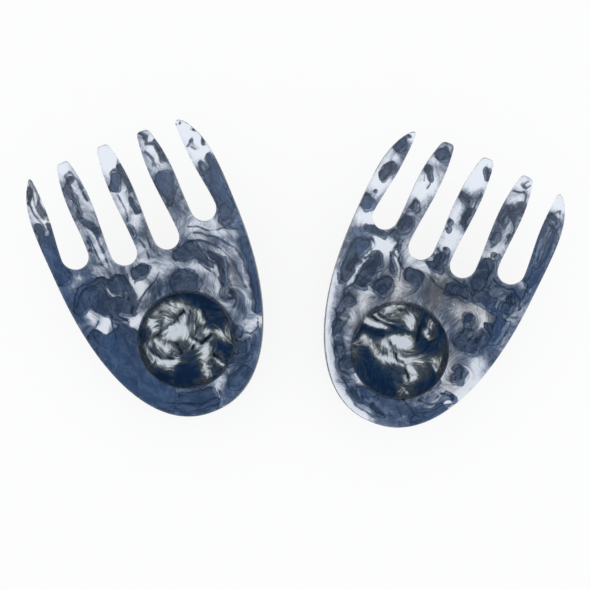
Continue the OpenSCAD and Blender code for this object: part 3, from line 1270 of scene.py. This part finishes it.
@dataclass(frozen=True)
class KnobResin:
    """Deep dark resin with pale clouds, clear windows and dark veins."""

    name: str = "dark_resin"
    tones: Stops = (
        (0.00, tone(16, 64, 104)),
        (0.15, tone(42, 80, 114)),
        (0.30, tone(68, 94, 122)),
        (0.45, tone(92, 108, 124)),
        (0.60, tone(122, 129, 132)),
        (0.75, tone(160, 162, 156)),
        (0.88, tone(206, 207, 199)),
        (1.00, tone(246, 249, 250)),
    )
    vein: Colour = tone(22, 46, 68)
    cloud_glow: float = 0.34
    streak_glow: float = 0.2
    cloud_vein: float = 1.8
    streak_vein: float = 1.0
    vein_edge: tuple[float, float] = (-1.5, 0.9)
    comb: Triple = (1.0, 0.5, 1.0)
    polish: tuple[float, float] = (0.04, 0.08)

    def make(self) -> bpy.types.Material:
        """Builds the material.

        Returns:
            The material, which reads the amounts glow, vein and seat and the place spot from the mesh.
        """
        material = bpy.data.materials.new(self.name)
        g = Graph(material)
        spot = g.place("spot")
        curl = g.centred(g.noise(spot, scale=1.1, detail=1.5).outputs["Color"], 1.5)
        swirl = g.shift(spot, curl)
        fine = g.noise(swirl, scale=2.6, detail=1.0, roughness=0.4).outputs["Color"]
        stirred = g.shift(swirl, g.centred(fine, 0.45))
        clouds = g.ramp(g.grain(stirred, 1.3, 0.5), *NOISE_RANGE)
        combed = g.stretch(stirred, self.comb)
        streaks = g.ramp(g.grain(combed, 2.8), *NOISE_RANGE)
        fronts = g.fronts(g.grain(combed, 1.1), bands=6.0)
        glow = g.total(g.amount("glow"), swing(clouds, self.cloud_glow),
                       swing(streaks, self.streak_glow), (fronts, -0.34, 0.14))
        vein = g.total(g.amount("vein"), swing(clouds, self.cloud_vein), swing(streaks, self.streak_vein))
        colour = g.shade(g.ramp(glow, 0.0, 1.0), self.tones)
        colour = g.blend(g.ramp(vein, *self.vein_edge), colour, self.vein)
        unveined = g.ramp(vein, *self.vein_edge, 1.0, 0.1)
        clear = g.math("MULTIPLY", g.ramp(glow, 0.3, 0.9, 0.1, 0.95), unveined)
        g.resin(colour, clear, g.ramp(streaks, 0.0, 1.0, *self.polish))
        return material


@dataclass
class Hand:
    """One hand: its plate and its knob, rounded from the CAD solids and dressed.

    The voxel and the merge gap are in metres, and the snap and the seat in millimetres. A face counts
    as broad from flat_from, as the upright share of its normal.
    """

    server: Server
    plate_resin: bpy.types.Material
    knob_resin: bpy.types.Material
    mixing: Mixing = Mixing()
    voxel: float = 0.0009
    rounding_steps: int = 5
    easing: float = 0.5
    merge_gap: float = 1e-6
    flat_from: float = 0.86
    flat_step: float = 0.08
    snap_reach: float = 0.8
    seat_rim: float = 2.0
    seat_reach: float = 1.0
    seat_step: float = 0.6
    centre: Vector = field(init=False)

    def __post_init__(self) -> None:
        """Finds the knob's axis from the CAD."""
        low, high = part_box(self.server.node("knob"))
        self.centre = (low + high) / 2

    def build(self) -> list[bpy.types.Object]:
        """Makes both pieces.

        Returns:
            The plate and the knob.
        """
        plate = self.rounded_copy("plate")
        self.lean_walls(plate)
        self.settle_dish(plate)
        self.pigment_plate(plate)
        plate.data.materials.append(self.plate_resin)
        knob = self.rounded_copy("knob")
        self.settle_seat(knob)
        self.pigment_knob(knob)
        knob.data.materials.append(self.knob_resin)
        return [plate, knob]

    def rounded_copy(self, part: str) -> bpy.types.Object:
        """Copies a CAD node and rounds its edges.

        Args:
            part: the part's name in the CAD.

        Returns:
            The new piece, which stands for the node and rides on its body.
        """
        node = self.server.node(part)
        bpy.ops.object.select_all(action="DESELECT")
        source = bpy.data.objects[node]
        source.select_set(True)
        bpy.context.view_layer.objects.active = source
        bpy.ops.object.duplicate()
        piece = bpy.context.view_layer.objects.active
        piece.name = f"{self.server.side.value}_resin_{part}"
        piece.data.name = piece.name
        piece.parent = None
        piece.data.materials.clear()
        for key in list(piece.keys()):
            del piece[key]
        bpy.ops.object.mode_set(mode="EDIT")
        bpy.ops.mesh.select_all(action="SELECT")
        bpy.ops.mesh.remove_doubles(threshold=self.merge_gap)
        bpy.ops.object.mode_set(mode="OBJECT")
        remesh = piece.modifiers.new("even_quads", "REMESH")
        remesh.mode = "VOXEL"
        remesh.voxel_size = self.voxel
        smooth = piece.modifiers.new("eased_edges", "SMOOTH")
        smooth.factor = self.easing
        smooth.iterations = self.rounding_steps
        bpy.ops.object.modifier_apply(modifier=remesh.name)
        bpy.ops.object.modifier_apply(modifier=smooth.name)
        bpy.ops.object.shade_smooth()
        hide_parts(node)
        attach(piece, self.server.body)
        return piece

    def local(self, piece: bpy.types.Object) -> tuple[np.ndarray, np.ndarray, np.ndarray]:
        """Places of a piece's points in the hand's own coordinates.

        Args:
            piece: the piece.

        Returns:
            Millimetres across the hand, along it from the heel, and above the table.
        """
        points = points_of(piece)
        turn = math.radians(self.server.splay)
        x = (points[:, 0] - self.centre.x) / MM
        y = (points[:, 1] - self.centre.y) / MM
        across = x * math.cos(turn) + y * math.sin(turn)
        along = -x * math.sin(turn) + y * math.cos(turn) + KNOB_TO_HEEL
        return across, along, points[:, 2] / MM

    def dish(self, across: np.ndarray, along: np.ndarray) -> tuple[np.ndarray, np.ndarray]:
        """Heights of the plate's back and of its hollow.

        Args:
            across: places across the hand.
            along: places along the hand.

        Returns:
            The two heights above the table, in millimetres.
        """
        out = across**2 + (along - KNOB_TO_HEEL) ** 2
        back = BACK_HEIGHT + BACK_RADIUS - np.sqrt(BACK_RADIUS**2 - out)
        hollow = BACK_HEIGHT + PLATE_THICKNESS + HOLLOW_RADIUS - np.sqrt(HOLLOW_RADIUS**2 - out)
        return back, hollow

    def lean_walls(self, piece: bpy.types.Object) -> None:
        """Turns the plate's upright walls until they stand square to its curve.

        Args:
            piece: the plate.
        """
        across, along, height = self.local(piece)
        _, hollow = self.dish(across, along)
        lean = (np.clip(hollow - height, 0, PLATE_THICKNESS) - PLATE_THICKNESS / 2) / BACK_RADIUS
        points = points_of(piece)
        points[:, 0] += (points[:, 0] - self.centre.x) * lean
        points[:, 1] += (points[:, 1] - self.centre.y) * lean
        move_points(piece, points)

    def settle_dish(self, piece: bpy.types.Object) -> None:
        """Draws the plate's broad faces onto their true curves, and leaves its rounded rim.

        Args:
            piece: the plate.
        """
        across, along, height = self.local(piece)
        back, hollow = self.dish(across, along)
        normals = np.zeros(len(piece.data.vertices) * 3)
        piece.data.vertices.foreach_get("normal", normals)
        upright = normals.reshape(-1, 3)[:, 2]
        face = np.where(upright > 0, hollow, back)
        share = np.clip((np.abs(upright) - self.flat_from) / self.flat_step, 0, 1)
        share = share * share * (3 - 2 * share) * (np.abs(face - height) < self.snap_reach)
        self.lift_to(piece, height + share * (face - height))

    def settle_seat(self, piece: bpy.types.Object) -> None:
        """Fits the knob's top just under the plate's back.

        Args:
            piece: the knob.
        """
        across, along, height = self.local(piece)
        back, _ = self.dish(across, along)
        top = height > BACK_HEIGHT - self.seat_rim
        height = np.where(top, np.minimum(height, back - SEAT_GAP), height)
        inner = np.hypot(across, along - KNOB_TO_HEEL) < KNOB_RADIUS - self.seat_rim
        share = np.clip((height - back + self.seat_reach) / self.seat_step, 0, 1) * inner
        height += share * (back - SEAT_GAP - height)
        self.lift_to(piece, height)

    @staticmethod
    def lift_to(piece: bpy.types.Object, height: np.ndarray) -> None:
        """Moves a piece's points up or down.

        Args:
            piece: the piece.
            height: the new heights above the table, in millimetres.
        """
        points = points_of(piece)
        points[:, 2] = height * MM
        move_points(piece, points)

    def spread(self, piece: bpy.types.Object) -> Spread:
        """Stirs the places of a piece's points, and writes where its grain is read.

        Args:
            piece: the plate or the knob.

        Returns:
            The places, stirred and not.
        """
        pattern, mixing = self.server.pattern, self.mixing
        across, along, height = self.local(piece)
        _, hollow = self.dish(across, along)
        depth = np.clip(hollow - height, 0, mixing.deepest)
        bend = Grain(pattern.seed)
        ripple = Grain(pattern.seed + 1)
        slip = mixing.slip * np.minimum(depth, PLATE_THICKNESS)
        moves = []
        for a, b in ((across, along), (along + mixing.second_axis, across)):
            broad = mixing.bend * bend.at(a, b, mixing.bend_size)
            moves.append(broad + mixing.ripple * ripple.at(a, b, mixing.ripple_size))
        u = across + slip + moves[0]
        v = along - slip + moves[1]
        stir_u, stir_v = swirled(pattern.swirls, u, v)
        from_axis = np.hypot(across, along - KNOB_TO_HEEL)
        spot = np.stack([stir_u, stir_v, depth + SEED_STEP * pattern.seed], axis=1)
        self.carry_vector(piece, "spot", spot / NOISE_UNIT)
        return Spread(across, along, depth, from_axis, u, v, stir_u, stir_v)

    def mark_bond(self, piece: bpy.types.Object, spread: Spread) -> None:
        """Writes where a piece is bonded to the other.

        Args:
            piece: the plate or the knob.
            spread: where its points lie.
        """
        inner = np.clip(KNOB_RADIUS - self.mixing.bond_edge - spread.from_axis, 0, 1)
        level = np.abs(spread.depth - PLATE_THICKNESS) < self.mixing.bond_depth
        self.carry(piece, "seat", inner * level)

    def pigment_knob(self, piece: bpy.types.Object) -> None:
        """Writes the clouds and veins onto the knob's points, with painted shade on its outer ring.

        Args:
            piece: the knob.
        """
        pattern, mixing = self.server.pattern, self.mixing
        spread = self.spread(piece)
        self.mark_bond(piece, spread)
        u, v = spread.u, spread.v
        glow = mixing.glow + mixing.light_gain * soft_pours(pattern.lights, u, v)
        glow -= mixing.dark_gain * soft_pours(pattern.darks, u, v)
        # Painted shade: the knob's outer ring is darkened, where its rounded edge and side wall look dark
        rim = (spread.from_axis - KNOB_RADIUS) / mixing.rim_width + 1
        self.carry(piece, "glow", glow - mixing.painted_rim_shade * np.clip(rim, 0, 1))
        veins = crisp_pours(pattern.veins, u, v) - mixing.vein_fade * spread.depth
        self.carry(piece, "vein", veins + mixing.vein_swell)

    def pigment_plate(self, piece: bpy.types.Object) -> None:
        """Writes the ink, lines, smoke, painted sky sheen and warmth onto the plate's points.

        Args:
            piece: the plate.
        """
        pattern, mixing = self.server.pattern, self.mixing
        spread = self.spread(piece)
        self.mark_bond(piece, spread)
        u, v, depth = spread.u, spread.v, spread.depth
        self.carry_vector(piece, "flow", self.flow(spread) / NOISE_UNIT)
        inner = KNOB_RADIUS - mixing.bond_edge - spread.from_axis
        window = np.clip(inner / mixing.window_edge, 0, 1)
        channels = crisp_pours(pattern.channels, u, v)
        ink = np.minimum(crisp_pours(pattern.ink, u, v), -channels)
        ink -= mixing.ink_fade * depth + mixing.window_ink_loss * window
        veil = mixing.veil + mixing.smoke_gain * soft_pours(pattern.smoke, u, v)
        veil -= mixing.clear_gain * soft_pours(pattern.clear, u, v)
        veil -= mixing.veil_fade * depth + mixing.window_veil_loss * window
        veil -= mixing.channel_loss * np.clip((channels + 1) / 2, 0, 1)
        self.carry(piece, "ink", ink)
        self.carry(piece, "line", crisp_pours(pattern.lines, u, v) - mixing.line_fade * depth)
        self.carry(piece, "veil", veil)
        # Painted sheen of the bluish sky, laid in the hand's places and not stirred with the resin
        self.carry(piece, "sky_sheen", soft_pours(pattern.sky_sheen, spread.across, spread.along))
        self.carry(piece, "warm", soft_pours(pattern.warm, spread.across, spread.along))

    def flow(self, spread: Spread) -> np.ndarray:
        """Coordinates of the streaks, which run up the hand and round its heel.

        Args:
            spread: where the points lie.

        Returns:
            A row for each point, in millimetres.
        """
        heel = np.minimum(spread.stir_v - HEEL_CENTRE, 0)
        out = np.hypot(spread.stir_u, heel)
        run = HEEL_CENTRE * np.arctan2(-heel, np.abs(spread.stir_u))
        run -= np.maximum(spread.stir_v - HEEL_CENTRE, 0)
        layer = STREAK_LEAN * spread.stir_u + spread.depth + SEED_STEP * self.server.pattern.seed
        return np.stack([out, STREAK_SHARE * run, layer], axis=1)

    @staticmethod
    def carry(piece: bpy.types.Object, name: str, values: np.ndarray) -> None:
        """Stores a number on each point of a piece."""
        attribute = piece.data.attributes.new(name, "FLOAT", "POINT")
        attribute.data.foreach_set("value", values.astype(np.float32))

    @staticmethod
    def carry_vector(piece: bpy.types.Object, name: str, values: np.ndarray) -> None:
        """Stores a vector on each point of a piece."""
        attribute = piece.data.attributes.new(name, "FLOAT_VECTOR", "POINT")
        attribute.data.foreach_set("vector", values.astype(np.float32).ravel())


@dataclass
class Studio:
    """Camera straight above the pair, pale floor and soft even light.

    The paper is the floor's own colour range, and white_share the part of it that always shows white.
    The sky's darker patch overhead is seen only in glossy reflections.
    """

    camera_height: float = 0.6589
    camera_aim: tuple[float, float] = (-0.0003, -0.0120)
    lens: float = 56.6
    sensor: float = 36.0
    floor_size: float = 8.0
    floor_drop: float = 0.0002
    paper: tuple[Colour, Colour] = (tone(238, 239, 241), tone(242, 243, 245))
    paper_scale: float = 40.0
    white_share: float = 0.84
    sky: Colour = (1.02, 1.03, 1.05)
    overhead: Colour = (0.1, 0.1, 0.11)
    overhead_edge: tuple[float, float] = (0.88, 0.97)
    view_reach: float = 50.0

    def place_camera(self) -> None:
        """Hangs the camera over the pair, looking straight down."""
        bpy.ops.object.camera_add(location=(*self.camera_aim, self.camera_height), rotation=(0, 0, 0))
        camera = bpy.context.object
        camera.data.lens = self.lens
        camera.data.sensor_width = self.sensor
        camera.data.clip_end = self.view_reach
        bpy.context.scene.camera = camera

    def lay_floor(self) -> None:
        """Lays the white floor, which keeps a light shadow of the pair."""
        bpy.ops.mesh.primitive_plane_add(size=self.floor_size, location=(0, 0, -self.floor_drop))
        floor = bpy.context.object
        floor.name = "studio_floor"
        material = bpy.data.materials.new("white_floor")
        g = Graph(material)
        rays = g.add("ShaderNodeLightPath").outputs
        seen = g.math("MAXIMUM", rays["Is Camera Ray"], rays["Is Glossy Ray"])
        seen = g.math("MAXIMUM", seen, rays["Is Transmission Ray"])
        spot = g.add("ShaderNodeTexCoord").outputs["Object"]
        grain = g.noise(spot, self.paper_scale, detail=3.0).outputs["Fac"]
        paper = g.add("ShaderNodeBsdfDiffuse")
        g.feed(paper.inputs["Color"], g.blend(grain, *self.paper))
        white = g.add("ShaderNodeEmission")
        white.inputs["Strength"].default_value = 1.0
        both = g.add("ShaderNodeMixShader")
        g.feed(both.inputs[0], g.math("MULTIPLY", seen, self.white_share))
        g.feed(both.inputs[1], paper.outputs[0])
        g.feed(both.inputs[2], white.outputs[0])
        g.surface(both.outputs[0])
        floor.data.materials.append(material)

    def light(self) -> None:
        """Lights the room evenly from a pale sky with a darker patch overhead."""
        world = bpy.data.worlds.new("soft_room")
        bpy.context.scene.world = world
        g = Graph(world)
        rays = g.add("ShaderNodeLightPath").outputs
        way = g.add("ShaderNodeTexCoord").outputs["Generated"]
        split = g.add("ShaderNodeSeparateXYZ")
        g.feed(split.inputs[0], way)
        patch = g.ramp(split.outputs["Z"], *self.overhead_edge)
        sky = g.blend(g.math("MULTIPLY", patch, rays["Is Glossy Ray"]), self.sky, self.overhead)
        colour = g.blend(rays["Is Camera Ray"], sky, (1.0, 1.0, 1.0))
        back = g.add("ShaderNodeBackground")
        g.feed(back.inputs["Color"], colour)
        end = g.add("ShaderNodeOutputWorld")
        g.feed(end.inputs["Surface"], back.outputs[0])
        bpy.context.scene.view_settings.view_transform = "Standard"


def main() -> None:
    """Builds the studio and both hands."""
    logging.basicConfig(level=logging.INFO, format="%(name)s: %(message)s")
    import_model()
    studio = Studio()
    studio.place_camera()
    studio.lay_floor()
    studio.light()
    plate_resin = PlateResin().make()
    knob_resin = KnobResin().make()
    servers = (
        Server(Side.LEFT, splay=21.6, pattern=LEFT_PATTERN),
        Server(Side.RIGHT, splay=-23.4, pattern=RIGHT_PATTERN),
    )
    for server in servers:
        for piece in Hand(server, plate_resin, knob_resin).build():
            LOG.info("%s: %d points", piece.name, len(piece.data.vertices))


if __name__ == "__main__":
    main()
